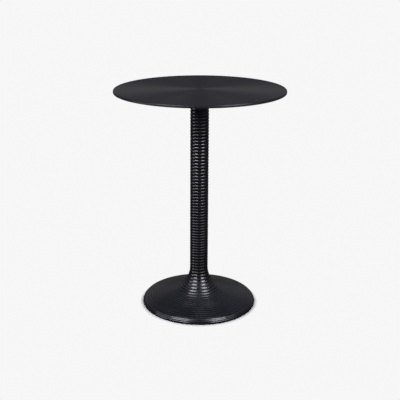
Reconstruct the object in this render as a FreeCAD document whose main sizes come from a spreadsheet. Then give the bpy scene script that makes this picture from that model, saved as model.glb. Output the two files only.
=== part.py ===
import FreeCAD, Part
import math
import os

import Sketcher
from FreeCAD import Vector

# Round pedestal side table: a turned disc on a ribbed column that runs into a ribbed trumpet base.
# A tie rod through the column pulls the three together, and felt pads carry them.
# Millimetres, +Z up, origin on the floor at the middle of the base.

doc = FreeCAD.newDocument("side_table")

# Driving dimensions
dimensions = (
    ("table_height", 600, "floor to the top's upper face"),
    ("top_diameter", 450, "disc top"),
    ("top_thickness", 7, "disc top at its rim"),
    ("rim_upper_round", 2.6, "rounding of the rim's upper edge"),
    ("rim_lower_round", 1.6, "rounding of the rim's lower edge"),
    ("boss_diameter", 170, "thicker middle of the top, below"),
    ("boss_depth", 6, "how far that boss stands down"),
    ("boss_round", 3, "rounding of the boss's lower edge"),
    ("plate_diameter", 150, "flange under the top"),
    ("plate_thickness", 6, "flange under the top"),
    ("plate_chamfer", 1, "lower edge of the flange and end of its spigot"),
    ("plate_spigot_length", 26, "spigot of the flange inside the column"),
    ("screw_count", 6, "screws of the flange"),
    ("screw_circle", 116, "diameter of the circle of screws"),
    ("screw_diameter", 6, "thread of those screws"),
    ("screw_head_diameter", 11, "domed head"),
    ("screw_head_height", 3.4, "domed head"),
    ("screw_head_round", 1.6, "rounding of the head"),
    ("screw_grip", 8, "screw length inside the top's boss"),
    ("screw_hole_spare", 1.5, "depth of the tapped hole beyond the screw"),
    ("column_diameter", 49.6, "over the crests of the ribs"),
    ("column_bore", 36, "bore of the column tube"),
    ("upper_rib_depth", 1.15, "crest to groove, high on the column"),
    ("lower_rib_depth", 0.95, "crest to groove, low on the column"),
    ("flare_rib_depth", 0.62, "crest to groove, where the base flares"),
    ("cone_rib_depth", 0.9, "crest to groove, on the upper cone"),
    ("rim_rib_depth", 0.55, "crest to groove, on the lower cone and the rim"),
    ("flare_share", 0.4, "share of the flare at its shallowest ribs"),
    ("deep_share", 0.3, "share of the cone that has deep ribs"),
    ("fade_share", 0.6, "share of the cone where they have become shallow"),
    ("upper_pitch", 8.9, "rib spacing high on the column"),
    ("lower_pitch", 7.6, "rib spacing where it starts to widen"),
    ("foot_pitch", 8.4, "rib spacing below that"),
    ("base_pitch", 7.95, "rib spacing on the base"),
    ("rim_pitch", 6, "rib spacing on its shoulder and rim"),
    ("grade_start", 150, "height where ribs start to widen and deepen"),
    ("grade_end", 400, "height where ribs stop widening and deepening"),
    ("plug_length", 30, "plug inside the column's lower end"),
    ("plug_spigot_diameter", 32, "plug inside the base's socket"),
    ("plug_spigot_length", 22, "plug inside the base's socket"),
    ("plug_chamfer", 1.5, "both ends of the plug"),
    ("rod_diameter", 10, "tie rod's thread"),
    ("rod_set_back", 2, "rod's upper end below the flange's face"),
    ("rod_tail", 7, "rod beyond its lower nut"),
    ("rod_chamfer", 1, "both ends of the rod"),
    ("nut_width", 17, "hexagon nut across its flats"),
    ("nut_height", 8, "lower nut"),
    ("jam_nut_height", 5, "upper, thin nut"),
    ("washer_diameter", 40, "wide plain washer"),
    ("washer_thickness", 3, "wide plain washer"),
    ("lock_washer_diameter", 18, "split washer"),
    ("lock_washer_thickness", 2.2, "split washer"),
    ("lock_washer_slit", 1.5, "split of that washer"),
    ("base_diameter", 312.6, "over the rim"),
    ("neck_height", 103, "floor to the joint of base and column"),
    ("flare_radius", 70, "hollow curve between neck and cone"),
    ("shoulder_radius", 15, "round between cone and rim"),
    ("rim_height", 2, "floor to the lower end of that round"),
    ("base_wall", 5, "wall of the casting under its ribs"),
    ("socket_depth", 24, "socket in the neck"),
    ("seat_thickness", 9, "floor of the socket, which the rod pulls on"),
    ("pad_count", 6, "felt pads under the base"),
    ("pad_diameter", 16, "felt pad"),
    ("pad_thickness", 3, "felt pad"),
    ("pad_recess", 1.5, "depth of the pad's recess"),
    ("pad_inset", 15.5, "rim to the middle of a pad"),
    ("pad_boss_wall", 2.8, "metal round a pad"),
    ("fit_clearance", 0.1, "each side of a spigot, plug or thread"),
    ("hole_clearance", 0.5, "each side of a rod or screw in a plain hole"),
    ("pad_clearance", 0.2, "each side of a pad in its recess"),
)
sheet = doc.addObject("Spreadsheet::Sheet", "sizes")
for row, (alias, value, meaning) in enumerate(dimensions, start=1):
    sheet.set(f"A{row}", alias)
    sheet.set(f"B{row}", str(value))
    sheet.set(f"C{row}", meaning)
    sheet.setAlias(f"B{row}", alias)
doc.recompute()

# Heights of the stack, from the floor, as expressions on the sheet
boss_under = "(sizes.table_height - sizes.top_thickness - sizes.boss_depth)"
plate_under = f"({boss_under} - sizes.plate_thickness)"
spigot_under = f"({plate_under} - sizes.plate_spigot_length)"
seat_under = "(sizes.neck_height - sizes.socket_depth - sizes.seat_thickness)"
washer_under = f"({seat_under} - sizes.washer_thickness)"
lock_washer_under = f"({washer_under} - sizes.lock_washer_thickness)"
nut_under = f"({lock_washer_under} - sizes.nut_height)"
rod_under = f"({nut_under} - sizes.rod_tail)"
rod_upper = f"({boss_under} - sizes.rod_set_back)"
foot_height = "(sizes.pad_thickness - sizes.pad_recess)"

# Radii that several pieces share
bore_fit_radius = "(sizes.column_bore / 2 - sizes.fit_clearance)"
thread_radius = "(sizes.rod_diameter / 2 + sizes.fit_clearance)"
rod_hole_radius = "(sizes.rod_diameter / 2 + sizes.hole_clearance)"
pad_circle_radius = "(sizes.base_diameter / 2 - sizes.pad_inset)"
pad_recess_radius = "(sizes.pad_diameter / 2 + sizes.pad_clearance)"


def measure(expression):
    return float(sheet.evalExpression(expression))


def new_body(label, height):
    body = doc.addObject("PartDesign::Body", label)
    body.setExpression("Placement.Base.z", height)
    return body


def sketch_on(body, name, role):
    plane = next(item for item in body.Origin.OriginFeatures if item.Role == role)
    sketch = body.newObject("Sketcher::SketchObject", name)
    sketch.AttachmentSupport = (plane, [""])
    sketch.MapMode = "FlatFace"
    return sketch


def dimension(sketch, constraint, expression):
    index = sketch.addConstraint(constraint)
    sketch.setExpression(f"Constraints[{index}]", expression)


def fix_point(sketch, line, end, across, up):
    # a point on an axis is held there, and any other point is dimensioned from the origin
    if across == "0":
        sketch.addConstraint(Sketcher.Constraint("PointOnObject", line, end, -2))
    else:
        gap = Sketcher.Constraint("DistanceX", -1, 1, line, end, measure(across))
        dimension(sketch, gap, across)
    if up == "0":
        sketch.addConstraint(Sketcher.Constraint("PointOnObject", line, end, -1))
    else:
        gap = Sketcher.Constraint("DistanceY", -1, 1, line, end, measure(up))
        dimension(sketch, gap, up)


def outline_sketch(body, name, corners, role="XZ_Plane"):
    # closed outline of straight lines, each corner a pair of expressions
    sketch = sketch_on(body, name, role)
    points = [Vector(measure(across), measure(up), 0) for across, up in corners]
    count = len(points)
    for index, point in enumerate(points):
        sketch.addGeometry(Part.LineSegment(point, points[(index + 1) % count]), False)
    for index, (across, up) in enumerate(corners):
        sketch.addConstraint(Sketcher.Constraint("Coincident", (index - 1) % count, 2, index, 1))
        fix_point(sketch, index, 1, across, up)
    return sketch


def revolve(body, sketch, feature="PartDesign::Revolution"):
    turned = body.newObject(feature, f"{sketch.Name}_turned")
    turned.Profile = sketch
    turned.ReferenceAxis = (sketch, ["V_Axis"])
    turned.Angle = 360
    doc.recompute()
    return turned


def circle_sketch(body, name, radius, across="0", inner_radius=None):
    # circle on the XY plane, centred on the X axis, with a concentric one inside it if asked
    sketch = sketch_on(body, name, "XY_Plane")
    for ring in (radius, inner_radius):
        if ring is None:
            continue
        circle = Part.Circle(Vector(measure(across), 0, 0), Vector(0, 0, 1), measure(ring))
        index = sketch.addGeometry(circle, False)
        dimension(sketch, Sketcher.Constraint("Radius", index, measure(ring)), ring)
        fix_point(sketch, index, 3, across, "0")
    return sketch


def pad_up(body, sketch, length):
    pad = body.newObject("PartDesign::Pad", f"{sketch.Name}_pad")
    pad.Profile = sketch
    pad.setExpression("Length", length)
    doc.recompute()
    return pad


def cut_up(body, sketch, depth=None):
    # cut upwards from the XY plane, right through where no depth is given
    before = body.Shape.Volume
    cut = body.newObject("PartDesign::Pocket", f"{sketch.Name}_cut")
    cut.Profile = sketch
    cut.Reversed = True
    if depth is None:
        cut.Type = "ThroughAll"
    else:
        cut.setExpression("Length", depth)
    doc.recompute()
    if body.Shape.Volume >= before:
        raise RuntimeError(f"{sketch.Name} cuts nothing")
    return cut


def repeat_round(body, name, features, count):
    pattern = body.newObject("PartDesign::PolarPattern", name)
    axis = next(item for item in body.Origin.OriginFeatures if item.Role == "Z_Axis")
    pattern.Originals = features
    pattern.Axis = (axis, [""])
    pattern.Angle = 360
    pattern.setExpression("Occurrences", count)
    body.Tip = pattern
    doc.recompute()
    return pattern


def edges_at(solid, radius, height):
    # names of the solid's circular edges that have this radius at this height
    names = []
    for number, edge in enumerate(solid.Shape.Edges, start=1):
        if not isinstance(edge.Curve, Part.Circle):
            continue
        same_radius = abs(edge.Curve.Radius - measure(radius)) < 1e-4
        same_height = abs(edge.Curve.Center.z - measure(height)) < 1e-4
        if same_radius and same_height:
            names.append(f"Edge{number}")
    return names


def ease_edges(body, feature, radius, height, size):
    # fillet or chamfer on the turned edges of this radius at this height
    solid = body.Tip
    names = edges_at(solid, radius, height)
    eased = body.newObject(f"PartDesign::{feature}", feature)
    eased.Base = (solid, names)
    eased.setExpression("Radius" if feature == "Fillet" else "Size", size)
    doc.recompute()
    return eased


# Crest line of the base: neck, hollow flare, cone, round shoulder and rim, as a half section
neck_radius = measure("sizes.column_diameter / 2")
neck_height = measure("sizes.neck_height")
rim_radius = measure("sizes.base_diameter / 2")
rim_height = measure("sizes.rim_height")
foot_level = measure(foot_height)
flare_radius = measure("sizes.flare_radius")
shoulder_radius = measure("sizes.shoulder_radius")
upper_rib_depth = measure("sizes.upper_rib_depth")
lower_rib_depth = measure("sizes.lower_rib_depth")
flare_rib_depth = measure("sizes.flare_rib_depth")
cone_rib_depth = measure("sizes.cone_rib_depth")
rim_rib_depth = measure("sizes.rim_rib_depth")
grade_start = measure("sizes.grade_start")
grade_end = measure("sizes.grade_end")
flare_centre = Vector(neck_radius + flare_radius, neck_height, 0)
shoulder_centre = Vector(rim_radius - shoulder_radius, rim_height, 0)

# The cone touches the flare from below and the shoulder from above, which sets its slope
between = flare_centre - shoulder_centre
cone_slope = math.atan2(between.x, between.y)
cone_slope += math.acos((flare_radius + shoulder_radius) / between.Length)
cone_normal = Vector(math.sin(cone_slope), math.cos(cone_slope), 0)
cone_upper = flare_centre - cone_normal * flare_radius
cone_lower = shoulder_centre + cone_normal * shoulder_radius
cone_length = (cone_lower - cone_upper).Length
flare_length = flare_radius * (math.pi / 2 - cone_slope)
shoulder_length = shoulder_radius * (math.pi / 2 - cone_slope)
crest_length = flare_length + cone_length + shoulder_length + rim_height - foot_level


def crest_of_base(distance):
    # point at this distance down the crest line, and the direction that leads out of the metal there
    if distance <= flare_length:
        turn = distance / flare_radius
        outward = Vector(math.cos(turn), math.sin(turn), 0)
        return flare_centre - outward * flare_radius, outward
    distance -= flare_length
    if distance <= cone_length:
        along = (cone_lower - cone_upper) * (distance / cone_length)
        return cone_upper + along, cone_normal
    distance -= cone_length
    if distance <= shoulder_length:
        lean = cone_slope + distance / shoulder_radius
        outward = Vector(math.sin(lean), math.cos(lean), 0)
        return shoulder_centre + outward * shoulder_radius, outward
    distance -= shoulder_length
    return Vector(rim_radius, rim_height - distance, 0), Vector(1, 0, 0)


def groove_depth_of_base(distance):
    # less where the flare turns, more on the upper cone, least from the lower cone to the rim
    stations = (
        (0, lower_rib_depth),
        (flare_length * measure("sizes.flare_share"), flare_rib_depth),
        (flare_length, cone_rib_depth),
        (flare_length + cone_length * measure("sizes.deep_share"), cone_rib_depth),
        (flare_length + cone_length * measure("sizes.fade_share"), rim_rib_depth),
    )
    for (start, first), (end, last) in zip(stations, stations[1:]):
        if distance < end:
            return first + (last - first) * (distance - start) / (end - start)
    return rim_rib_depth


def grade(distance):
    # share of the column's grading reached at this distance above its foot
    share = (distance + neck_height - grade_start) / (grade_end - grade_start)
    return min(max(share, 0.0), 1.0)


def crest_of_column(distance):
    return Vector(neck_radius, distance, 0), Vector(1, 0, 0)


def groove_depth_of_column(distance):
    return lower_rib_depth + (upper_rib_depth - lower_rib_depth) * grade(distance)


def ribs(crest, groove_depth, grooves):
    # one arc for each rib, from groove to groove by way of its crest
    arcs = []
    for start, end in zip(grooves, grooves[1:]):
        ends = []
        for groove in (start, end):
            point, outward = crest(groove)
            ends.append(point - outward * groove_depth(groove))
        arcs.append(Part.Arc(ends[0], crest((start + end) / 2)[0], ends[1]))
    return arcs


def ribbed_solid(body, arcs, axis_points):
    # solid of revolution of the ribs, closed by straight lines by way of points on the axis
    sketch = sketch_on(body, f"{body.Name}_section", "XZ_Plane")
    for arc in arcs:
        sketch.addGeometry(arc, False)
    corners = [arcs[-1].EndPoint] + axis_points + [arcs[0].StartPoint]
    for start, end in zip(corners, corners[1:]):
        sketch.addGeometry(Part.LineSegment(start, end), False)
    revolve(body, sketch)


# Disc top, with a boss below that takes the screws
def make_top():
    top_radius = "(sizes.top_diameter / 2)"
    boss_radius = "(sizes.boss_diameter / 2)"
    upper = "(sizes.boss_depth + sizes.top_thickness)"
    body = new_body("table_top", boss_under)
    corners = (
        ("0", "0"),
        (boss_radius, "0"),
        (boss_radius, "sizes.boss_depth"),
        (top_radius, "sizes.boss_depth"),
        (top_radius, upper),
        ("0", upper),
    )
    revolve(body, outline_sketch(body, "top_section", corners))
    ease_edges(body, "Fillet", top_radius, upper, "sizes.rim_upper_round")
    ease_edges(body, "Fillet", top_radius, "sizes.boss_depth", "sizes.rim_lower_round")
    ease_edges(body, "Fillet", boss_radius, "0", "sizes.boss_round")
    hole = circle_sketch(body, "tapped_hole", "(sizes.screw_diameter / 2 + sizes.fit_clearance)",
                         "(sizes.screw_circle / 2)")
    cut = cut_up(body, hole, "(sizes.screw_grip + sizes.screw_hole_spare)")
    repeat_round(body, "tapped_holes", [cut], "sizes.screw_count")
    return body


# Flange under the top, with the spigot that locates the column and holds the rod's thread
def make_plate():
    plate_radius = "(sizes.plate_diameter / 2)"
    upper = "(sizes.plate_spigot_length + sizes.plate_thickness)"
    body = new_body("top_plate", spigot_under)
    corners = (
        (thread_radius, "0"),
        (bore_fit_radius, "0"),
        (bore_fit_radius, "sizes.plate_spigot_length"),
        (plate_radius, "sizes.plate_spigot_length"),
        (plate_radius, upper),
        (thread_radius, upper),
    )
    revolve(body, outline_sketch(body, "plate_section", corners))
    ease_edges(body, "Chamfer", bore_fit_radius, "0", "sizes.plate_chamfer")
    ease_edges(body, "Chamfer", plate_radius, "sizes.plate_spigot_length", "sizes.plate_chamfer")
    hole = circle_sketch(body, "screw_hole", "(sizes.screw_diameter / 2 + sizes.hole_clearance)",
                         "(sizes.screw_circle / 2)")
    repeat_round(body, "screw_holes", [cut_up(body, hole)], "sizes.screw_count")
    return body


# Screws of the flange, as one group of separate solids
def make_screws():
    place = "(sizes.screw_circle / 2)"
    shank_length = "(sizes.screw_head_height + sizes.plate_thickness + sizes.screw_grip)"
    body = new_body("top_plate_screws", f"({plate_under} - sizes.screw_head_height)")
    head = pad_up(body, circle_sketch(body, "head", "(sizes.screw_head_diameter / 2)", place),
                  "sizes.screw_head_height")
    shank = pad_up(body, circle_sketch(body, "shank", "(sizes.screw_diameter / 2)", place), shank_length)
    ease_edges(body, "Fillet", "(sizes.screw_head_diameter / 2)", "0", "sizes.screw_head_round")
    repeat_round(body, "screws", [head, shank, body.Tip], "sizes.screw_count")
    return body


# Ribbed column tube, whose ribs widen and deepen upwards
def make_column():
    length = measure(f"{plate_under} - sizes.neck_height")
    foot_pitch = measure("sizes.foot_pitch")
    lower_pitch = measure("sizes.lower_pitch")
    pitch_gain = measure("sizes.upper_pitch") - lower_pitch
    grooves = [0.0]
    while grooves[-1] < length:
        share = grade(grooves[-1])
        pitch = lower_pitch + pitch_gain * share if share > 0 else foot_pitch
        grooves.append(grooves[-1] + pitch)
    stretch = length / grooves[-1]
    grooves = [groove * stretch for groove in grooves]
    body = new_body("column", "sizes.neck_height")
    arcs = ribs(crest_of_column, groove_depth_of_column, grooves)
    ribbed_solid(body, arcs, [Vector(0, length, 0), Vector(0, 0, 0)])
    cut_up(body, circle_sketch(body, "bore", "(sizes.column_bore / 2)"))
    return body


# Stepped plug that locates the column in the base
def make_plug():
    spigot_radius = "(sizes.plug_spigot_diameter / 2)"
    upper = "(sizes.plug_spigot_length + sizes.plug_length)"
    body = new_body("column_foot_plug", "(sizes.neck_height - sizes.plug_spigot_length)")
    corners = (
        (rod_hole_radius, "0"),
        (spigot_radius, "0"),
        (spigot_radius, "sizes.plug_spigot_length"),
        (bore_fit_radius, "sizes.plug_spigot_length"),
        (bore_fit_radius, upper),
        (rod_hole_radius, upper),
    )
    revolve(body, outline_sketch(body, "plug_section", corners))
    ease_edges(body, "Chamfer", spigot_radius, "0", "sizes.plug_chamfer")
    ease_edges(body, "Chamfer", bore_fit_radius, upper, "sizes.plug_chamfer")
    return body


# Trumpet base: ribbed outside, hollow below, with a socket in its neck and bosses for the pads
def make_base():
    body = new_body("base", foot_height)
    lift = Vector(0, foot_level, 0)
    base_pitch = measure("sizes.base_pitch")
    cone_ribs = int((flare_length + cone_length) / base_pitch)
    rim_start = cone_ribs * base_pitch
    rim_ribs = round((crest_length - rim_start) / measure("sizes.rim_pitch"))
    grooves = [base_pitch * index for index in range(cone_ribs)]
    grooves += [rim_start + (crest_length - rim_start) * index / rim_ribs for index in range(rim_ribs + 1)]
    arcs = ribs(crest_of_base, groove_depth_of_base, grooves)
    for arc in arcs:
        arc.translate(-lift)
    ribbed_solid(body, arcs, [Vector(0, 0, 0), Vector(0, neck_height - foot_level, 0)])

    # hollow at a steady depth below the crest line, up to the flat underside of the seat
    depth = lower_rib_depth + measure("sizes.base_wall")
    inner_radius = flare_radius + depth
    seat = measure(seat_under)
    rise = seat - neck_height
    seat_edge = Vector(flare_centre.x - math.sqrt(inner_radius ** 2 - rise ** 2), seat, 0)
    inner_upper = flare_centre - cone_normal * inner_radius
    middle = (seat_edge + inner_upper) * 0.5 - flare_centre
    flare_middle = flare_centre + middle.normalize() * inner_radius
    wall_radius = rim_radius - depth
    fall = (wall_radius - inner_upper.x) * math.tan(cone_slope)
    inner_lower = Vector(wall_radius, inner_upper.y - fall, 0)
    points = [seat_edge, inner_upper, inner_lower, Vector(wall_radius, foot_level, 0)]
    points += [Vector(0, foot_level, 0), Vector(0, seat, 0), seat_edge]
    hollow = sketch_on(body, "hollow", "XZ_Plane")
    hollow.addGeometry(Part.Arc(seat_edge - lift, flare_middle - lift, inner_upper - lift), False)
    for start, end in zip(points[1:], points[2:]):
        hollow.addGeometry(Part.LineSegment(start - lift, end - lift), False)
    revolve(body, hollow, "PartDesign::Groove")

    socket = circle_sketch(body, "socket", "(sizes.plug_spigot_diameter / 2 + sizes.fit_clearance)")
    socket.setExpression("AttachmentOffset.Base.z",
                         f"sizes.neck_height - sizes.socket_depth - {foot_height}")
    cut_up(body, socket)
    cut_up(body, circle_sketch(body, "rod_hole", rod_hole_radius))

    boss = body.newObject("PartDesign::Pad", "pad_boss")
    boss.Profile = circle_sketch(body, "pad_boss_outline", f"({pad_recess_radius} + sizes.pad_boss_wall)",
                                 pad_circle_radius)
    boss.Type = "UpToFirst"
    doc.recompute()
    recess = cut_up(body, circle_sketch(body, "pad_recess", pad_recess_radius, pad_circle_radius),
                    "sizes.pad_recess")
    repeat_round(body, "pad_bosses", [boss, recess], "sizes.pad_count")
    return body


# Tie rod, with its thread left plain
def make_rod():
    rod_radius = "(sizes.rod_diameter / 2)"
    length = f"({rod_upper} - {rod_under})"
    body = new_body("tie_rod", rod_under)
    pad_up(body, circle_sketch(body, "rod_section", rod_radius), length)
    ease_edges(body, "Chamfer", rod_radius, "0", "sizes.rod_chamfer")
    ease_edges(body, "Chamfer", rod_radius, length, "sizes.rod_chamfer")
    return body


def make_nut(label, thickness, height):
    block = doc.addObject("Part::Prism", f"{label}_block")
    block.Polygon = 6
    block.setExpression("Circumradius", "sizes.nut_width / sqrt(3)")
    bore = doc.addObject("Part::Cylinder", f"{label}_bore")
    bore.setExpression("Radius", thread_radius)
    for piece in (block, bore):
        piece.setExpression("Height", thickness)
    nut = doc.addObject("Part::Cut", label)
    nut.Base = block
    nut.Tool = bore
    nut.setExpression("Placement.Base.z", height)
    return nut


def make_washer():
    body = new_body("tie_rod_washer", washer_under)
    ring = circle_sketch(body, "washer_ring", "(sizes.washer_diameter / 2)", inner_radius=rod_hole_radius)
    pad_up(body, ring, "sizes.washer_thickness")
    return body


# Split washer: a ring with a narrow slit
def make_lock_washer():
    slit = "sizes.lock_washer_slit"
    reach = "sizes.lock_washer_diameter"
    body = new_body("tie_rod_lock_washer", lock_washer_under)
    ring = circle_sketch(body, "lock_ring", "(sizes.lock_washer_diameter / 2)", inner_radius=rod_hole_radius)
    pad_up(body, ring, "sizes.lock_washer_thickness")
    corners = (("0", "0"), (slit, "0"), (slit, reach), ("0", reach))
    cut_up(body, outline_sketch(body, "slit", corners, "XY_Plane"))
    return body


# Felt pads, in the recesses of the base's bosses
def make_pad(number):
    pad = doc.addObject("Part::Cylinder", f"floor_pad_{number}")
    angle = f"(360 * {number - 1} / sizes.pad_count)"
    pad.setExpression("Radius", "sizes.pad_diameter / 2")
    pad.setExpression("Height", "sizes.pad_thickness")
    pad.setExpression("Placement.Base.x", f"{pad_circle_radius} * cos({angle})")
    pad.setExpression("Placement.Base.y", f"{pad_circle_radius} * sin({angle})")
    return pad


subparts = [
    make_top(),
    make_plate(),
    make_screws(),
    make_column(),
    make_plug(),
    make_base(),
    make_rod(),
    make_nut("tie_rod_jam_nut", "sizes.jam_nut_height", f"{spigot_under} - sizes.jam_nut_height"),
    make_washer(),
    make_lock_washer(),
    make_nut("tie_rod_nut", "sizes.nut_height", nut_under),
]
for number in range(1, int(measure("sizes.pad_count")) + 1):
    subparts.append(make_pad(number))
doc.recompute()

for item in doc.Objects:
    if "Invalid" in item.State or "Error" in item.State:
        raise RuntimeError(f"{item.Label} failed: {item.State}")
for part in subparts:
    if part.Shape.isNull() or not part.Shape.isValid():
        raise RuntimeError(f"{part.Label} has no valid shape")

os.makedirs("parts", exist_ok=True)
for part in subparts:
    part.Shape.exportStep(os.path.join("parts", f"{part.Label}.step"))
    box = part.Shape.optimalBoundingBox()
    print(f"{part.Label}: {len(part.Shape.Solids)} solids, {part.Shape.Volume:.0f} mm3, "
          f"z {box.ZMin:.2f} to {box.ZMax:.2f}")
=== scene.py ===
import math
from functools import reduce
from operator import add

import bmesh
import bpy
from mathutils import Euler, Matrix, Vector, kdtree, noise


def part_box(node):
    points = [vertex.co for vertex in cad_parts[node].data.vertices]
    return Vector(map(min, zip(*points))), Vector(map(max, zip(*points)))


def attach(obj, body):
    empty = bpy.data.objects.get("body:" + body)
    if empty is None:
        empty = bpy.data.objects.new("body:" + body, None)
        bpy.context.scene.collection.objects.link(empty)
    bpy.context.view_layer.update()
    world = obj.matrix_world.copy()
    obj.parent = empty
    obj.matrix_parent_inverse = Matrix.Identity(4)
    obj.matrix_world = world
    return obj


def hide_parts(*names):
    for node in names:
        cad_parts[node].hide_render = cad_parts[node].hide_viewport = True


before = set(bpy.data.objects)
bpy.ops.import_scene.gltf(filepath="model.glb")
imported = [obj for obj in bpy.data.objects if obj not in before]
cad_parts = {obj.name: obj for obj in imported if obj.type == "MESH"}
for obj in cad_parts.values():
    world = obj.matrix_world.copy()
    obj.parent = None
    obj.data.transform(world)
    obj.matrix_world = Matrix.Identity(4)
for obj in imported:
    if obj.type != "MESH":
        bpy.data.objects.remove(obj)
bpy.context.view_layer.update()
body = "root"
padNodes = sorted(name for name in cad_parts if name.startswith("floor_pad"))
fullTurn = 2 * math.pi
tiny = 1e-6
print("frame loaded:", len(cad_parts), "nodes")


# Shader sums: a wire is one socket, and sums on wires add Math nodes
class Wire:
    def __init__(self, tree, socket=None):
        self.tree = tree
        self.socket = socket

    def node(self, kind, settings=None, inputs=None, output=0):
        made = self.tree.nodes.new(kind)
        for name, value in (settings or {}).items():
            setattr(made, name, value)
        for name, value in (inputs or {}).items():
            if isinstance(value, Wire):
                self.tree.links.new(value.socket, made.inputs[name])
            else:
                made.inputs[name].default_value = value
        return Wire(self.tree, made.outputs[output])

    def sum(self, operation, *values):
        return self.node("ShaderNodeMath", {"operation": operation}, dict(enumerate(values)))

    def __add__(self, other):
        return self.sum("ADD", self, other)

    def __sub__(self, other):
        return self.sum("SUBTRACT", self, other)

    def __rsub__(self, other):
        return self.sum("SUBTRACT", other, self)

    def __mul__(self, other):
        return self.sum("MULTIPLY", self, other)

    def __pow__(self, other):
        return self.sum("POWER", self, other)

    def __rpow__(self, other):
        return self.sum("POWER", other, self)

    __radd__ = __add__
    __rmul__ = __mul__

    def clear(self, low, high):  # 0 below low, 1 above high, smooth between
        return self.node("ShaderNodeMapRange", {"interpolation_type": "SMOOTHSTEP"},
                         {"Value": self, "From Min": low, "From Max": high})

    def blend(self, first, second):  # this wire is the factor; sockets 6, 7 and 2 are the colours
        return self.node("ShaderNodeMix", {"data_type": "RGBA"}, {0: self, 6: first, 7: second}, 2)

    def speckle(self, place, scale, detail, rough=0.5):
        return self.node("ShaderNodeTexNoise", {},
                         {"Vector": place, "Scale": scale, "Detail": detail, "Roughness": rough})

    def lines(self, length, perMetre, detail):  # noise that changes along one length only
        return self.node("ShaderNodeTexNoise", {"noise_dimensions": "1D"},
                         {"W": length * perMetre, "Scale": 1, "Detail": detail})

    def bump(self, height, distance, below=None):  # on top of another bump, where one is given
        inputs = {"Height": height, "Distance": distance}
        if below:
            inputs["Normal"] = below
        return self.node("ShaderNodeBump", {}, inputs)


def mixed(shares, *wires):  # weighted sum
    return reduce(add, (wire * share for wire, share in zip(wires, shares)))


def newMaterial(name):
    material = bpy.data.materials.new(name)
    material.use_nodes = True
    tree = material.node_tree
    wire = Wire(tree)
    place = wire.node("ShaderNodeTexCoord", output="Object")
    return material, tree.nodes["Principled BSDF"], wire, place


def finish(shader, wires, values):
    tree = shader.id_data
    for name, wire in wires.items():
        tree.links.new(wire.socket, shader.inputs[name])
    for name, value in values.items():
        shader.inputs[name].default_value = value


def setSurface(material, wire):
    tree = material.node_tree
    tree.links.new(wire.socket, tree.nodes["Material Output"].inputs["Surface"])


def distanceFromAxis(wire, place):
    flat = wire.node("ShaderNodeVectorMath", {"operation": "MULTIPLY"}, {0: place, 1: (1, 1, 0)})
    return wire.node("ShaderNodeVectorMath", {"operation": "LENGTH"}, {0: flat}, "Value")


# Noise keeps mostly within this range, and each look gives its scale, detail and roughness
noiseRange = (0.3, 0.7)
noiseMean = 0.5


# Satin black on the turned top: rings of the lathe under the coat
turnedLook = {
    "dark": (0.0094, 0.0089, 0.0146, 1), "light": (0.0164, 0.0155, 0.0243, 1),
    "rings": (900, 3), "cuts": (2600, 1), "clouds": (9, 4, 0.6), "grain": (1400, 2),
    "toneMix": (0.5, 0.35, 0.15), "roughMix": (0.6, 0.4), "reliefMix": (0.6, 0.4),
    "roughness": 0.36, "roughnessSpread": 0.10, "ringDepth": 0.00003, "grainDepth": 0.000012,
    "specular": 0.5, "anisotropy": 0.80, "anisotropyTurn": 0.25,
}


def turnedBlack():
    look = turnedLook
    material, shader, wire, place = newMaterial("turnedBlack")
    radius = distanceFromAxis(wire, place)
    rings = wire.lines(radius, *look["rings"])
    cuts = wire.lines(radius, *look["cuts"])
    clouds = wire.speckle(place, *look["clouds"])
    grain = wire.speckle(place, *look["grain"])
    tone = mixed(look["toneMix"], rings, clouds, grain)
    uneven = mixed(look["roughMix"], rings, clouds) - noiseMean
    relief = wire.bump(mixed(look["reliefMix"], rings, cuts), look["ringDepth"])
    finish(shader, {"Base Color": tone.clear(*noiseRange).blend(look["dark"], look["light"]),
                    "Roughness": look["roughness"] + uneven * look["roughnessSpread"],
                    "Normal": wire.bump(grain, look["grainDepth"], relief)},
           {"Specular IOR Level": look["specular"], "Anisotropic": look["anisotropy"],
            "Anisotropic Rotation": look["anisotropyTurn"]})
    return material


# Satin black on the cast and ribbed pieces, with painted shade darker in the grooves and painted light
# paler where the cone faces up
castLook = {
    # groove and crest colours are painted shade and light across each rib: darker in the grooves, lighter
    # on the crests
    "groove": (0.0014, 0.0015, 0.0021, 1), "crest": (0.0044, 0.0046, 0.0062, 1),
    # cone colours are painted light: where the surface faces up its crests are painted much paler, as if
    # lit from above
    "shadedConeGroove": (0.0010, 0.0012, 0.0016, 1), "litConeCrest": (0.0460, 0.0490, 0.0630, 1),
    "peel": (1500, 2, 0.55), "grain": (3600, 1), "clouds": (14, 4, 0.6),
    "unevenMix": (0.6, 0.4), "heightMix": (0.8, 0.2), "conePower": 3,
    "paintedLightSlope": (0.30, 0.90), "rimStart": (0.138, 0.144),
    "roughness": 0.15, "coneRoughness": 0.23, "roughnessSpread": 0.05,
    "specular": 1.0, "tint": (0.92, 0.91, 1.0, 1), "peelDepth": 0.000006, "grainDepth": 0.000003,
}


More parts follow.
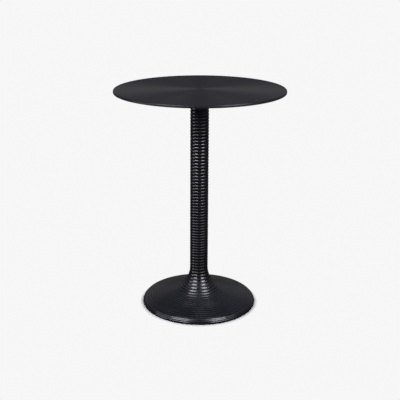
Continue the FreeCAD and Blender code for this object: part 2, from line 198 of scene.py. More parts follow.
def castBlack():
    look = castLook
    material, shader, wire, place = newMaterial("castBlack")
    crest, slope = (wire.node("ShaderNodeAttribute", {"attribute_name": name}, output="Fac")
                    for name in ("crest", "slope"))
    peel = wire.speckle(place, *look["peel"])
    grain = wire.speckle(place, *look["grain"])
    clouds = wire.speckle(place, *look["clouds"])
    uneven = mixed(look["unevenMix"], clouds, peel)
    # painted shade: the colour darkens from each crest down into its grooves
    height = mixed(look["heightMix"], crest, uneven.clear(*noiseRange))
    # painted light: the more a rib faces up, the paler its colour
    pale = slope.clear(*look["paintedLightSlope"])
    tone = pale.blend(height.blend(look["groove"], look["crest"]),
                      (height ** look["conePower"]).blend(look["shadedConeGroove"], look["litConeCrest"]))
    inside = 1 - distanceFromAxis(wire, place).clear(*look["rimStart"])
    rough = look["roughness"] + pale * inside * (look["coneRoughness"] - look["roughness"])
    rough = rough + (uneven - noiseMean) * look["roughnessSpread"]
    relief = wire.bump(peel, look["peelDepth"])
    finish(shader, {"Base Color": tone, "Roughness": rough,
                    "Normal": wire.bump(grain, look["grainDepth"], relief)},
           {"Specular IOR Level": look["specular"], "Specular Tint": look["tint"]})
    return material


# Bare metals: zinc plate on the rod, nuts and washers, blackened screws, aluminium plug
metalLook = {"stretch": (1, 1, 0.1), "toneMix": (0.7, 0.3), "scratchDepth": 0.00001}
zincLook = {
    "dark": (0.36, 0.36, 0.37, 1), "light": (0.60, 0.60, 0.58, 1),
    "clouds": (120, 4, 0.6), "scratches": (900, 2), "roughness": 0.30, "roughnessSpread": 0.2,
}
blackScrewLook = {
    "dark": (0.012, 0.012, 0.014, 1), "light": (0.035, 0.034, 0.036, 1),
    "clouds": (300, 4, 0.6), "scratches": (1200, 2), "roughness": 0.38, "roughnessSpread": 0.15,
}
aluminiumLook = {
    "dark": (0.48, 0.48, 0.49, 1), "light": (0.68, 0.68, 0.69, 1),
    "clouds": (90, 4, 0.6), "scratches": (1500, 2), "roughness": 0.34, "roughnessSpread": 0.18,
}


def bareMetal(name, look):
    material, shader, wire, place = newMaterial(name)
    clouds = wire.speckle(place, *look["clouds"])
    stretched = wire.node("ShaderNodeMapping", {}, {"Vector": place, "Scale": metalLook["stretch"]})
    scratches = wire.speckle(stretched, *look["scratches"])
    tone = mixed(metalLook["toneMix"], clouds, scratches)
    finish(shader, {"Base Color": tone.clear(*noiseRange).blend(look["dark"], look["light"]),
                    "Roughness": look["roughness"] + (tone - noiseMean) * look["roughnessSpread"],
                    "Normal": wire.bump(scratches, metalLook["scratchDepth"])},
           {"Metallic": 1.0})
    return material


# Pressed wool felt of the floor pads
feltLook = {
    "dark": (0.012, 0.012, 0.013, 1), "light": (0.055, 0.054, 0.056, 1),
    "fibres": (1500, 3, 0.7), "tufts": (260, 3, 0.6), "toneMix": (0.6, 0.4),
    "roughness": 0.92, "roughnessSpread": 0.1, "sheen": 0.4, "fibreDepth": 0.0002,
}


def blackFelt():
    look = feltLook
    material, shader, wire, place = newMaterial("blackFelt")
    fibres = wire.speckle(place, *look["fibres"])
    tufts = wire.speckle(place, *look["tufts"])
    tone = mixed(look["toneMix"], fibres, tufts)
    finish(shader, {"Base Color": tone.clear(*noiseRange).blend(look["dark"], look["light"]),
                    "Roughness": look["roughness"] + (tufts - noiseMean) * look["roughnessSpread"],
                    "Normal": wire.bump(tone, look["fibreDepth"])},
           {"Sheen Weight": look["sheen"]})
    return material


materials = {
    "black_turned": turnedBlack(),
    "black_cast": castBlack(),
    "black_screw": bareMetal("blackScrew", blackScrewLook),
    "zinc_steel": bareMetal("zincSteel", zincLook),
    "bare_aluminium": bareMetal("bareAluminium", aluminiumLook),
    "felt": blackFelt(),
}
print("materials made:", len(materials))


# Mesh helpers: everything turns about Z
def spin(bm, points, steps, angle=fullTurn, rise=0, closed=False, merge=False):
    lines = [bm.edges.new(pair) for pair in zip(points, points[1:])]
    if closed:
        lines.append(bm.edges.new((points[-1], points[0])))
    bmesh.ops.spin(bm, geom=points + lines, cent=(0, 0, 0), axis=(0, 0, 1), dvec=(0, 0, rise),
                   angle=angle, steps=steps, use_merge=merge, use_duplicate=False)


def weld(bm, gap):
    bmesh.ops.remove_doubles(bm, verts=bm.verts, dist=gap)
    bmesh.ops.dissolve_degenerate(bm, edges=bm.edges, dist=gap)


def turn(bm, outline, steps, closed=False):  # outline of (radius, height) points
    points = [bm.verts.new((radius, 0, height)) for radius, height in outline]
    spin(bm, points, steps, closed=closed, merge=True)
    weld(bm, 1e-7)
    bmesh.ops.recalc_face_normals(bm, faces=bm.faces)


def closeEnds(bm):
    bmesh.ops.holes_fill(bm, edges=[edge for edge in bm.edges if edge.is_boundary], sides=0)
    bmesh.ops.recalc_face_normals(bm, faces=bm.faces)


def join(bm, part):  # takes a part up into a larger mesh
    mesh = bpy.data.meshes.new("part")
    part.to_mesh(mesh)
    part.free()
    bm.from_mesh(mesh)
    bpy.data.meshes.remove(mesh)


def arc(centre, radius, first, last, count):  # points between two angles, in degrees from +radius
    points = []
    for index in range(count + 1):
        angle = math.radians(first + (last - first) * index / count)
        points.append((centre[0] + radius * math.cos(angle), centre[1] + radius * math.sin(angle)))
    return points


def hexRadius(across, angle):  # distance from the axis to the flats of a hexagon
    sixth = math.pi / 3
    return across / 2 / math.cos((angle % sixth) - sixth / 2)


def radiusOf(vert):
    return math.hypot(vert.co.x, vert.co.y)


def setRadius(vert, radius):
    share = radius / radiusOf(vert)
    vert.co.x *= share
    vert.co.y *= share


def planCentre(low, high):
    return Vector(((low[0] + high[0]) / 2, (low[1] + high[1]) / 2, 0))


def newObject(name, bm):
    mesh = bpy.data.meshes.new(name)
    bm.to_mesh(mesh)
    bm.free()
    made = bpy.data.objects.new(name, mesh)
    bpy.context.collection.objects.link(made)
    return made


def addPiece(name, bm, slot, nodes, sharp=35):  # edges over this many degrees stay sharp
    bm.normal_update()
    for edge in bm.edges:
        edge.smooth = edge.calc_face_angle(0) < math.radians(sharp)
    for face in bm.faces:
        face.smooth = True
    piece = newObject(name, bm)
    piece.data.materials.append(materials[slot])
    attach(piece, body)
    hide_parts(*nodes)
    print("piece", name, len(piece.data.polygons), "faces")


# Ribs, as on the solids: each an arc from groove to groove, given by its crest line
ribs = {"upperDepth": 0.00115, "lowerDepth": 0.00095, "flareDepth": 0.00062, "coneDepth": 0.0009,
        "rimDepth": 0.00055, "flareShare": 0.4, "deepShare": 0.3, "fadeShare": 0.6,
        "upperPitch": 0.0089, "lowerPitch": 0.0076, "footPitch": 0.0084, "basePitch": 0.00795,
        "rimPitch": 0.006, "gradeStart": 0.150, "gradeEnd": 0.400,
        "pointsEach": 8, "markReach": 1e-5, "sharp": 20}


def ribOutline(crestLine, grooveDepth, grooves):  # crestLine gives a point and its outward direction
    outline = []
    marks = []
    count = ribs["pointsEach"]
    for start, end in zip(grooves, grooves[1:]):
        (firstPoint, firstOut), (lastPoint, lastOut) = crestLine(start), crestLine(end)
        first = firstPoint - firstOut * grooveDepth(start)
        last = lastPoint - lastOut * grooveDepth(end)
        top, out = crestLine((start + end) / 2)
        sag = (top - (first + last) / 2).dot(out)
        half = (last - first).length / 2
        bend = (half * half + sag * sag) / (2 * sag)
        spread = math.asin(min(half / bend, 1.0))
        along = (last - first).normalized()
        across = Vector((-along.y, along.x))
        if across.dot(out) < 0:
            across = -across
        centre = (first + last) / 2 + across * (sag - bend)
        for index in range(count):  # points lie closer together beside the grooves
            angle = spread * math.sin(math.pi / 2 * (2 * index / count - 1))
            point = centre + (across * math.cos(angle) + along * math.sin(angle)) * bend
            outline.append((point.x, point.y))
            share = (math.cos(angle) - math.cos(spread)) / (1 - math.cos(spread))
            marks.append((share, out.y))
    outline.append((last.x, last.y))
    marks.append((0.0, 0.0))
    return outline, marks


def markRibs(bm, outline, marks):  # how near each vertex is to a crest, and how far its rib faces up
    layers = [bm.verts.layers.float.new(name) for name in ("crest", "slope")]
    places = kdtree.KDTree(len(outline))
    for index, (radius, height) in enumerate(outline):
        places.insert((radius, height, 0), index)
    places.balance()
    for vert in bm.verts:
        index, gap = places.find((radiusOf(vert), vert.co.z, 0))[1:]
        if gap < ribs["markReach"]:
            for layer, mark in zip(layers, marks[index]):
                vert[layer] = mark


# Disc top: shallow rings on its upper face, rounded rim, boss below
topSizes = {"steps": 224, "upperRound": 0.0026, "upperPoints": 7, "lowerRound": 0.0016, "lowerPoints": 6,
            "bossRadius": 0.085, "bossDepth": 0.006, "bossRound": 0.003, "bossPoints": 6,
            "centreMark": 0.0016, "centreDepth": 0.0007,
            "ringPitch": 0.0026, "ringDepth": 0.00004, "plainRim": 0.004}


def makeTop():
    sizes = topSizes
    low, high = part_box("table_top")
    radius, upper = high[0], high[2]
    under = low[2] + sizes["bossDepth"]
    outline = [(0, upper - sizes["centreDepth"]), (sizes["centreMark"], upper)]
    start = sizes["centreMark"] * 2
    span = radius - sizes["upperRound"] - sizes["plainRim"] - start
    count = round(span / sizes["ringPitch"])
    for index in range(count):
        at = start + span * index / count
        outline += [(at, upper), (at + span / count / 2, upper - sizes["ringDepth"])]
    outline.append((start + span, upper))
    bend = sizes["upperRound"]
    outline += arc((radius - bend, upper - bend), bend, 90, 0, sizes["upperPoints"])
    bend = sizes["lowerRound"]
    outline += arc((radius - bend, under + bend), bend, 0, -90, sizes["lowerPoints"])
    outline.append((sizes["bossRadius"], under))
    bend = sizes["bossRound"]
    outline += arc((sizes["bossRadius"] - bend, low[2] + bend), bend, 0, -90, sizes["bossPoints"])
    outline.append((0, low[2]))
    bm = bmesh.new()
    turn(bm, outline, sizes["steps"])
    addPiece("top_disc", bm, "black_turned", ["table_top"])


# Flange under the top, with the spigot inside the column
flangeSizes = {"steps": 128, "thickness": 0.006, "spigotRadius": 0.0179, "boreRadius": 0.0051,
               "chamfer": 0.001}


def makeFlange():
    sizes = flangeSizes
    low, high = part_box("top_plate")
    radius = high[0]
    under = high[2] - sizes["thickness"]
    bore, spigot, ease = sizes["boreRadius"], sizes["spigotRadius"], sizes["chamfer"]
    outline = [(bore, low[2]), (spigot - ease, low[2]), (spigot, low[2] + ease), (spigot, under),
               (radius - ease, under), (radius, under + ease), (radius, high[2]), (bore, high[2])]
    bm = bmesh.new()
    turn(bm, outline, sizes["steps"], closed=True)
    addPiece("top_flange", bm, "black_cast", ["top_plate"])


# Ribbed column tube
columnSizes = {"steps": 144, "boreRadius": 0.018}


def grade(height):  # share of the column's grading reached at this height
    share = (height - ribs["gradeStart"]) / (ribs["gradeEnd"] - ribs["gradeStart"])
    return min(max(share, 0.0), 1.0)


def columnDepth(height):
    return ribs["lowerDepth"] + (ribs["upperDepth"] - ribs["lowerDepth"]) * grade(height)


def columnGrooves(low, high):
    grooves = [0.0]
    length = high - low
    while grooves[-1] < length:
        share = grade(grooves[-1] + low)
        graded = ribs["lowerPitch"] + (ribs["upperPitch"] - ribs["lowerPitch"]) * share
        grooves.append(grooves[-1] + (graded if share > 0 else ribs["footPitch"]))
    return [low + groove * length / grooves[-1] for groove in grooves]


def makeColumn():
    sizes = columnSizes
    low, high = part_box("column")
    radius = high[0]

    def crestLine(height):
        return Vector((radius, height)), Vector((1, 0))

    outline, marks = ribOutline(crestLine, columnDepth, columnGrooves(low[2], high[2]))
    inside = [(sizes["boreRadius"], high[2]), (sizes["boreRadius"], low[2])]
    bm = bmesh.new()
    turn(bm, outline + inside, sizes["steps"], closed=True)
    markRibs(bm, outline, marks)
    addPiece("ribbed_column", bm, "black_cast", ["column"], sharp=ribs["sharp"])


# Trumpet base: flare, cone, shoulder and rim outside, hollow below, bosses round the pads
baseSizes = {"steps": 224, "rimRadius": 0.1563, "neckRadius": 0.0248, "flareRadius": 0.070,
             "shoulderRadius": 0.015, "rimHeight": 0.002, "wall": 0.005, "hollowPoints": 14,
             "seatHeight": 0.070, "socketFloor": 0.079, "socketRadius": 0.0161, "rodHoleRadius": 0.0055,
             "padGap": 0.0002, "bossWall": 0.0028, "recess": 0.0015, "bossSteps": 40, "bossEase": 0.0006}


def makeBase():
    sizes = baseSizes
    low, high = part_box("base")
    foot = low[2]
    flareRadius, shoulderRadius = sizes["flareRadius"], sizes["shoulderRadius"]
    flareAt = Vector((sizes["neckRadius"] + flareRadius, high[2]))
    shoulderAt = Vector((sizes["rimRadius"] - shoulderRadius, sizes["rimHeight"]))
    apart = flareAt - shoulderAt
    slope = math.atan2(apart.x, apart.y) + math.acos((flareRadius + shoulderRadius) / apart.length)
    coneOut = Vector((math.sin(slope), math.cos(slope)))
    coneTop = flareAt - coneOut * flareRadius
    coneEnd = shoulderAt + coneOut * shoulderRadius
    flareLength = flareRadius * (math.pi / 2 - slope)
    coneLength = (coneEnd - coneTop).length
    shoulderLength = shoulderRadius * (math.pi / 2 - slope)
    total = flareLength + coneLength + shoulderLength + (sizes["rimHeight"] - foot)

    def crestLine(distance):  # along the outline, down from the neck
        if distance <= flareLength:
            angle = distance / flareRadius
            out = Vector((math.cos(angle), math.sin(angle)))
            return flareAt - out * flareRadius, out
        distance -= flareLength
        if distance <= coneLength:
            return coneTop.lerp(coneEnd, distance / coneLength), coneOut
        distance -= coneLength
        if distance <= shoulderLength:
            angle = slope + distance / shoulderRadius
            out = Vector((math.sin(angle), math.cos(angle)))
            return shoulderAt + out * shoulderRadius, out
        distance -= shoulderLength
        return Vector((sizes["rimRadius"], sizes["rimHeight"] - distance)), Vector((1, 0))

    # grooves are shallower where the flare turns, deeper on the upper cone, shallowest from there on
    stations = [(0.0, ribs["lowerDepth"]), (flareLength * ribs["flareShare"], ribs["flareDepth"]),
                (flareLength, ribs["coneDepth"]),
                (flareLength + coneLength * ribs["deepShare"], ribs["coneDepth"]),
                (flareLength + coneLength * ribs["fadeShare"], ribs["rimDepth"])]

    def grooveDepth(distance):
        for (start, first), (end, last) in zip(stations, stations[1:]):
            if distance < end:
                return first + (last - first) * (distance - start) / (end - start)
        return ribs["rimDepth"]

    coneRibs = int((flareLength + coneLength) / ribs["basePitch"])
    rimStart = coneRibs * ribs["basePitch"]
    rimRibs = round((total - rimStart) / ribs["rimPitch"])
    grooves = [ribs["basePitch"] * index for index in range(coneRibs)]
    grooves += [rimStart + (total - rimStart) * index / rimRibs for index in range(rimRibs + 1)]
    outline, marks = ribOutline(crestLine, grooveDepth, grooves)

    # hollow at a steady depth under the crest line
    depth = ribs["lowerDepth"] + sizes["wall"]
    bend = flareRadius + depth
    wallRadius = sizes["rimRadius"] - depth
    coneInner = flareAt - coneOut * bend

    def ceiling(radius):  # height of the hollow's conical roof
        return coneInner.y - (radius - coneInner.x) * math.tan(slope)

    seatAngle = 180 + math.degrees(math.asin((flareAt.y - sizes["seatHeight"]) / bend))
    coneAngle = 180 + math.degrees(math.pi / 2 - slope)
    inside = [(wallRadius, foot), (wallRadius, ceiling(wallRadius))]
    inside += arc(flareAt, bend, coneAngle, seatAngle, sizes["hollowPoints"])
    inside += [(sizes["rodHoleRadius"], sizes["seatHeight"]),
               (sizes["rodHoleRadius"], sizes["socketFloor"]),
               (sizes["socketRadius"], sizes["socketFloor"]), (sizes["socketRadius"], high[2])]
    bm = bmesh.new()
    turn(bm, outline + inside, sizes["steps"], closed=True)
    markRibs(bm, outline, marks)
    addPiece("trumpet_base", bm, "black_cast", ["base"], sharp=ribs["sharp"])
    makeBosses(foot, ceiling)


def makeBosses(foot, ceiling):  # one with a recess for each pad, its upper end sunk in the wall
    sizes = baseSizes
    ease = sizes["bossEase"]
    roof = foot + sizes["recess"]
    upper = roof * 2
    bm = bmesh.new()
    for node in padNodes:
        low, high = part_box(node)
        recess = (high[0] - low[0]) / 2 + sizes["padGap"]
        radius = recess + sizes["bossWall"]
        outline = [(0, roof), (recess, roof), (recess, foot + ease), (recess + ease, foot),
                   (radius - ease, foot), (radius, foot + ease), (radius, upper), (0, upper)]
        boss = bmesh.new()
        turn(boss, outline, sizes["bossSteps"])
        bmesh.ops.translate(boss, verts=boss.verts, vec=planCentre(low, high))
        for vert in boss.verts:
            if vert.co.z > roof + tiny:
                vert.co.z = ceiling(radiusOf(vert)) + sizes["wall"] / 2
        join(bm, boss)
    addPiece("pad_bosses", bm, "black_cast", [])


# Plug that centres the column on the base
plugSizes = {"steps": 64, "spigotRadius": 0.016, "spigotLength": 0.022, "boreRadius": 0.0055,
             "chamfer": 0.0015}


def makePlug():
    sizes = plugSizes
    low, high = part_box("column_foot_plug")
    radius = high[0]
    shelf = low[2] + sizes["spigotLength"]
    bore, spigot, ease = sizes["boreRadius"], sizes["spigotRadius"], sizes["chamfer"]
    outline = [(bore, low[2]), (spigot - ease, low[2]), (spigot, low[2] + ease), (spigot, shelf),
               (radius, shelf), (radius, high[2] - ease), (radius - ease, high[2]), (bore, high[2])]
    bm = bmesh.new()
    turn(bm, outline, sizes["steps"], closed=True)
    addPiece("foot_plug", bm, "bare_aluminium", ["column_foot_plug"])


# Button-head screws that hold the flange, seen from below, each stopped at its own turn
screwSizes = {"circleRadius": 0.058, "count": 6, "turnEach": 0.7, "steps": 36, "headRadius": 0.0055,
              "headHeight": 0.0034, "headRound": 0.0022, "headPoints": 8, "shankRadius": 0.003,
              "socketAcross": 0.004, "socketDepth": 0.0021, "socketEase": 0.0002, "tipChamfer": 0.0006}


def makeScrews():
    sizes = screwSizes
    low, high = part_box("top_plate_screws")
    seat = low[2] + sizes["headHeight"]
    floor = low[2] + sizes["socketDepth"]
    head, bend = sizes["headRadius"], sizes["headRound"]
    shank, tip = sizes["shankRadius"], sizes["tipChamfer"]
    socket, ease = sizes["socketAcross"] / 2, sizes["socketEase"]
    outline = [(0, floor), (socket, floor), (socket, low[2] + ease), (socket + ease, low[2])]
    outline += arc((head - bend, low[2] + bend), bend, -90, 0, sizes["headPoints"])
    outline += [(head, seat), (shank, seat), (shank, high[2] - tip), (shank - tip, high[2]), (0, high[2])]
    screw = bmesh.new()
    turn(screw, outline, sizes["steps"])
    for vert in screw.verts:  # round socket to hexagon
        radius = radiusOf(vert)
        if tiny < radius < socket + ease + tiny and vert.co.z < floor + tiny:
            setRadius(vert, hexRadius(2 * radius, math.atan2(vert.co.y, vert.co.x)))
    bm = bmesh.new()
    for index in range(sizes["count"]):
        place = Matrix.Rotation(fullTurn * index / sizes["count"], 4, "Z")
        place = place @ Matrix.Translation((sizes["circleRadius"], 0, 0))
        place = place @ Matrix.Rotation(sizes["turnEach"] * index, 4, "Z")
        another = screw.copy()
        bmesh.ops.transform(another, matrix=place, verts=another.verts)
        join(bm, another)
    screw.free()
    addPiece("flange_screws", bm, "black_screw", ["top_plate_screws"])


# Tie rod: plain shank with a cut thread at both ends
rodSizes = {"steps": 36, "pitch": 0.0015, "rootDepth": 0.00092, "lowerThread": 0.034,
            "upperThread": 0.046, "chamfer": 0.001, "weld": 2e-6}


def addThread(bm, radius, low, high):  # metric profile: flat at the crest P/8, at the root P/4
    sizes = rodSizes
    pitch = sizes["pitch"]
    root = radius - sizes["rootDepth"]
    section = ((root, 0), (root, pitch / 8), (radius, pitch * 7 / 16), (radius, pitch * 9 / 16),
               (root, pitch * 7 / 8), (root, pitch))
    turns = math.ceil((high - low) / pitch) + 2
    thread = bmesh.new()
    points = [thread.verts.new((across, 0, low - pitch + up)) for across, up in section]
    spin(thread, points, turns * sizes["steps"], angle=fullTurn * turns, rise=pitch / sizes["steps"])
    for vert in thread.verts:
        vert.co.z = min(max(vert.co.z, low), high)
        limit = radius - sizes["chamfer"] + min(vert.co.z - low, high - vert.co.z)
        if radiusOf(vert) > limit:
            setRadius(vert, limit)
    weld(thread, sizes["weld"])
    closeEnds(thread)
    join(bm, thread)


def makeRod():
    sizes = rodSizes
    low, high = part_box("tie_rod")
    radius = high[0]
    lowerEnd = low[2] + sizes["lowerThread"]
    upperEnd = high[2] - sizes["upperThread"]
    ease = sizes["chamfer"]
    bm = bmesh.new()
    turn(bm, [(0, lowerEnd - ease), (radius - ease, lowerEnd - ease), (radius, lowerEnd),
              (radius, upperEnd), (radius - ease, upperEnd + ease), (0, upperEnd + ease)], sizes["steps"])
    addThread(bm, radius, low[2], lowerEnd)
    addThread(bm, radius, upperEnd, high[2])
    addPiece("threaded_tie_rod", bm, "zinc_steel", ["tie_rod"])


# Hexagon nuts with turned chamfers on both faces
nutSizes = {"across": 0.017, "steps": 72, "boreRadius": 0.00505, "faceRadius": 0.0081,
            "chamferAngle": 30, "countersink": 0.0005, "sharp": 25}


def makeNut(name, node):
    sizes = nutSizes
    low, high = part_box(node)
    corner = sizes["across"] / math.sqrt(3)
    steep = math.tan(math.radians(sizes["chamferAngle"]))
    bore, sink, face = sizes["boreRadius"], sizes["countersink"], sizes["faceRadius"]
    drop = (corner - face) * steep
    outline = [(bore, low[2] + sink), (bore + sink, low[2]), (face, low[2]), (corner, low[2] + drop),
               (corner, high[2] - drop), (face, high[2]), (bore + sink, high[2]), (bore, high[2] - sink)]
    bm = bmesh.new()
    turn(bm, outline, sizes["steps"], closed=True)
    for vert in bm.verts:  # flats, which the chamfer meets nearer to the face between the corners
        if radiusOf(vert) > face + tiny:
            flat = hexRadius(sizes["across"], math.atan2(vert.co.y, vert.co.x))
            nearer = (corner - flat) * steep
            vert.co.z += nearer if vert.co.z > (low[2] + high[2]) / 2 else -nearer
            setRadius(vert, flat)
    addPiece(name, bm, "zinc_steel", [node], sharp=sizes["sharp"])


# Plain washer, pressed from sheet: upper edge rolled, lower edge nearly sharp
washerSizes = {"steps": 96, "boreRadius": 0.0055, "upperRound": 0.0008, "upperPoints": 5,
               "lowerRound": 0.0003, "lowerPoints": 4}


def makeWasher():
    sizes = washerSizes
    low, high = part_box("tie_rod_washer")
    radius = high[0]
    above, below = sizes["upperRound"], sizes["lowerRound"]
    outline = [(sizes["boreRadius"], low[2])]
    outline += arc((radius - below, low[2] + below), below, -90, 0, sizes["lowerPoints"])
    outline += arc((radius - above, high[2] - above), above, 0, 90, sizes["upperPoints"])
    outline.append((sizes["boreRadius"], high[2]))
    bm = bmesh.new()
    turn(bm, outline, sizes["steps"], closed=True)
    addPiece("plain_washer", bm, "zinc_steel", ["tie_rod_washer"])


# Split washer: a square ring, open at its slit
splitSizes = {"steps": 80, "boreRadius": 0.0055, "slit": 0.0015, "ease": 0.0002}


def makeSplitWasher():
    sizes = splitSizes
    low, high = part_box("tie_rod_lock_washer")
    radius = (high[0] - low[0]) / 2
    bore, ease = sizes["boreRadius"], sizes["ease"]
    section = ((bore, low[2] + ease), (bore + ease, low[2]), (radius - ease, low[2]),
               (radius, low[2] + ease), (radius, high[2] - ease), (radius - ease, high[2]),
               (bore + ease, high[2]), (bore, high[2] - ease))
    gap = sizes["slit"] / ((bore + radius) / 2)
    bm = bmesh.new()
    points = [bm.verts.new((0, across, up)) for across, up in section]
    spin(bm, points, sizes["steps"], angle=fullTurn - gap, closed=True)
    closeEnds(bm)
    addPiece("split_washer", bm, "zinc_steel", ["tie_rod_lock_washer"])


# Felt pads: pressed discs with soft, slightly uneven edges
padSizes = {"steps": 48, "edge": 0.0006, "edgePoints": 4, "unevenness": 0.00012, "unevenScale": 900,
            "rings": 6}


def makePads():
    sizes = padSizes
    edge = sizes["edge"]
    for node in padNodes:
        low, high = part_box(node)
        radius = (high[0] - low[0]) / 2 - sizes["unevenness"]
        outline = [(radius * index / sizes["rings"], low[2]) for index in range(sizes["rings"])]
        outline += arc((radius - edge, low[2] + edge), edge, -90, 0, sizes["edgePoints"])
        outline += arc((radius - edge, high[2] - edge), edge, 0, 90, sizes["edgePoints"])
        outline.append((0, high[2]))
        bm = bmesh.new()
        turn(bm, outline, sizes["steps"])
        centre = planCentre(low, high)
        bmesh.ops.translate(bm, verts=bm.verts, vec=centre)
        for vert in bm.verts:
            out = Vector((vert.co.x - centre.x, vert.co.y - centre.y, 0)).normalized()
            if low[2] + tiny < vert.co.z < high[2] - tiny:
                vert.co += out * sizes["unevenness"] * noise.noise(vert.co * sizes["unevenScale"])
        addPiece(node.replace("floor", "felt"), bm, "felt", [node])


makeTop()
makeFlange()
makeScrews()
makeColumn()
makePlug()
makeBase()
makeRod()
makeNut("lower_nut", "tie_rod_nut")
makeNut("jam_nut", "tie_rod_jam_nut")
makeWasher()
makeSplitWasher()
makePads()
print("pieces made")


# Studio: white floor that runs out to plain white, and what reflections see round the table
stageSizes = {
    "floorSize": 60.0, "floorGrain": (40, 3), "floorDark": 0.90, "floorLight": 0.91, "floorRoughness": 0.9,
    "whiteStart": 0.1555, "shadowEnd": 0.1675, "white": 0.925, "skyForDiffuse": 0.08,
    "tentRadius": 12.0, "tentSegments": (48, 24), "tentFloor": 0.001, "tentDark": 0.02, "tentBack": 0.15,
    "backStart": (0.55, 0.9), "backTop": (0.35, 0.7),
    "wallStart": (0.26, 0.33), "wallEnd": (0.45, 0.53), "wallFront": (-0.35, -0.1),
    "wallAside": (0.15, 0.45), "wallMiddle": 0.65, "wallEdge": 1.85,
    "sideStart": (0.45, 0.75), "sideWall": 0.09,
}


def grey(level):
    return (level, level, level, 1)


def makeFloor():  # diffuse under the table, for its contact shadow, and plain white beyond
    sizes = stageSizes
    bm = bmesh.new()
    bmesh.ops.create_grid(bm, x_segments=1, y_segments=1, size=sizes["floorSize"])
    floor = newObject("floor", bm)
    material, shader, wire, place = newMaterial("floorWhite")
    grain = wire.speckle(place, *sizes["floorGrain"]).clear(*noiseRange)
    finish(shader, {"Base Color": grain.blend(grey(sizes["floorDark"]), grey(sizes["floorLight"]))},
           {"Roughness": sizes["floorRoughness"], "Specular IOR Level": 0.0})
    glow = wire.node("ShaderNodeEmission", {}, {"Color": grey(1), "Strength": sizes["white"]})
    away = distanceFromAxis(wire, place).clear(sizes["whiteStart"], sizes["shadowEnd"])
    near = Wire(material.node_tree, shader.outputs["BSDF"])
    setSurface(material, wire.node("ShaderNodeMixShader", {}, {0: away, 1: near, 2: glow}))
    floor.data.materials.append(material)


def makeTent():  # seen only in reflections: dark, with a pale back, a dim front wall and dim sides
    sizes = stageSizes
    around, rings = sizes["tentSegments"]
    bm = bmesh.new()
    bmesh.ops.create_uvsphere(bm, u_segments=around, v_segments=rings, radius=sizes["tentRadius"])
    for vert in bm.verts:
        vert.co.z = max(vert.co.z, sizes["tentFloor"])
    tent = newObject("tent", bm)
    tent.visible_camera = False
    tent.visible_diffuse = False
    tent.visible_transmission = False
    tent.visible_shadow = False
    material, shader, wire, place = newMaterial("tentGrey")
    material.node_tree.nodes.remove(shader)
    scaled = wire.node("ShaderNodeVectorMath", {"operation": "SCALE"},
                       {0: place, "Scale": 1 / sizes["tentRadius"]})
    side, back, up = (wire.node("ShaderNodeSeparateXYZ", {}, {0: scaled}, axis) for axis in "XYZ")
    aside = wire.sum("ABSOLUTE", side)
    behind = back.clear(*sizes["backStart"]) * (1 - up.clear(*sizes["backTop"]))
    band = up.clear(*sizes["wallStart"]) - up.clear(*sizes["wallEnd"])
    band = band * (1 - back.clear(*sizes["wallFront"]))
    wall = aside.clear(*sizes["wallAside"]) * (sizes["wallEdge"] - sizes["wallMiddle"])
    wall = sizes["wallMiddle"] + wall
    level = sizes["tentDark"] + behind * (sizes["tentBack"] - sizes["tentDark"]) + band * wall
    level = level + aside.clear(*sizes["sideStart"]) * sizes["sideWall"]
    setSurface(material, wire.node("ShaderNodeEmission", {}, {"Color": level, "Strength": 1.0}))
    tent.data.materials.append(material)


def makeWorld():
    sizes = stageSizes
    world = bpy.data.worlds.new("studio")
    bpy.context.scene.world = world
    world.use_nodes = True
    tree = world.node_tree
    wire = Wire(tree)
    seen, glossy, through = (wire.node("ShaderNodeLightPath", output=name) for name in
                             ("Is Camera Ray", "Is Glossy Ray", "Is Transmission Ray"))
    seen = wire.sum("MAXIMUM", wire.sum("MAXIMUM", seen, glossy), through)
    level = sizes["skyForDiffuse"] + seen * (sizes["white"] - sizes["skyForDiffuse"])
    background = tree.nodes["Background"]
    background.inputs["Color"].default_value = grey(1)
    tree.links.new(level.socket, background.inputs["Strength"])


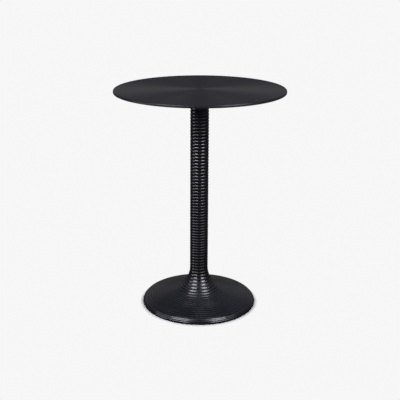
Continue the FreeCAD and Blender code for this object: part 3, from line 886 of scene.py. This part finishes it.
# Lamps, three a side and one more at the left: azimuth in degrees from the camera, positive to its right
lamps = {
    "lowLeft": {"azimuth": -46, "elevation": 35.2, "size": (1.15, 0.20), "radiance": 12.5},
    "highLeft": {"azimuth": -46, "elevation": 44, "size": (1.15, 0.43), "radiance": 4.8},
    "topLeft": {"azimuth": -46, "elevation": 60, "size": (1.15, 0.75), "radiance": 1.7},
    "sideLeft": {"azimuth": -80, "elevation": 0, "size": (0.9, 0.70), "radiance": 1.9},
    "lowRight": {"azimuth": 44, "elevation": 35.2, "size": (0.95, 0.20), "radiance": 13.5},
    "highRight": {"azimuth": 44, "elevation": 44, "size": (0.95, 0.43), "radiance": 6.2},
    "topRight": {"azimuth": 44, "elevation": 60, "size": (0.95, 0.75), "radiance": 2.0},
}
lampColour = (0.95, 0.95, 1.0)
lampAim = Vector((0, 0, 0.3))
lampDistance = 2.0


def makeLamps():
    for name, lamp in lamps.items():
        azimuth, elevation = math.radians(lamp["azimuth"]), math.radians(lamp["elevation"])
        flat = math.cos(elevation)
        towards = Vector((math.sin(azimuth) * flat, -math.cos(azimuth) * flat, math.sin(elevation)))
        light = bpy.data.lights.new(name, "AREA")
        light.shape = "RECTANGLE"
        light.size, light.size_y = lamp["size"]
        light.color = lampColour
        light.energy = lamp["radiance"] * math.pi * light.size * light.size_y
        made = bpy.data.objects.new(name, light)
        made.location = lampAim + towards * lampDistance
        made.rotation_euler = towards.to_track_quat("Z", "Y").to_euler()
        made.visible_camera = False
        bpy.context.collection.objects.link(made)


# Camera, fitted to the outlines of the top and base in the photograph
cameraFit = {"lens": 69.595, "sensor": 36.0, "shift": (0.0485, -0.0117), "clipEnd": 200.0,
             "location": (-0.09664, -1.99152, 0.94901), "pitch": 17.775, "yaw": 1.329, "roll": -0.137}


def makeCamera():
    fit = cameraFit
    data = bpy.data.cameras.new("camera")
    data.lens = fit["lens"]
    data.sensor_width = fit["sensor"]
    data.shift_x, data.shift_y = fit["shift"]
    data.clip_end = fit["clipEnd"]
    camera = bpy.data.objects.new("camera", data)
    pitch, yaw, roll = (math.radians(fit[name]) for name in ("pitch", "yaw", "roll"))
    turned = Euler((math.pi / 2 - pitch, 0, -yaw)).to_matrix() @ Matrix.Rotation(roll, 3, "Z")
    camera.matrix_world = Matrix.Translation(fit["location"]) @ turned.to_4x4()
    bpy.context.collection.objects.link(camera)
    bpy.context.scene.camera = camera


makeFloor()
makeTent()
makeWorld()
makeLamps()
makeCamera()
bpy.context.scene.view_settings.view_transform = "Standard"
print("stage made")
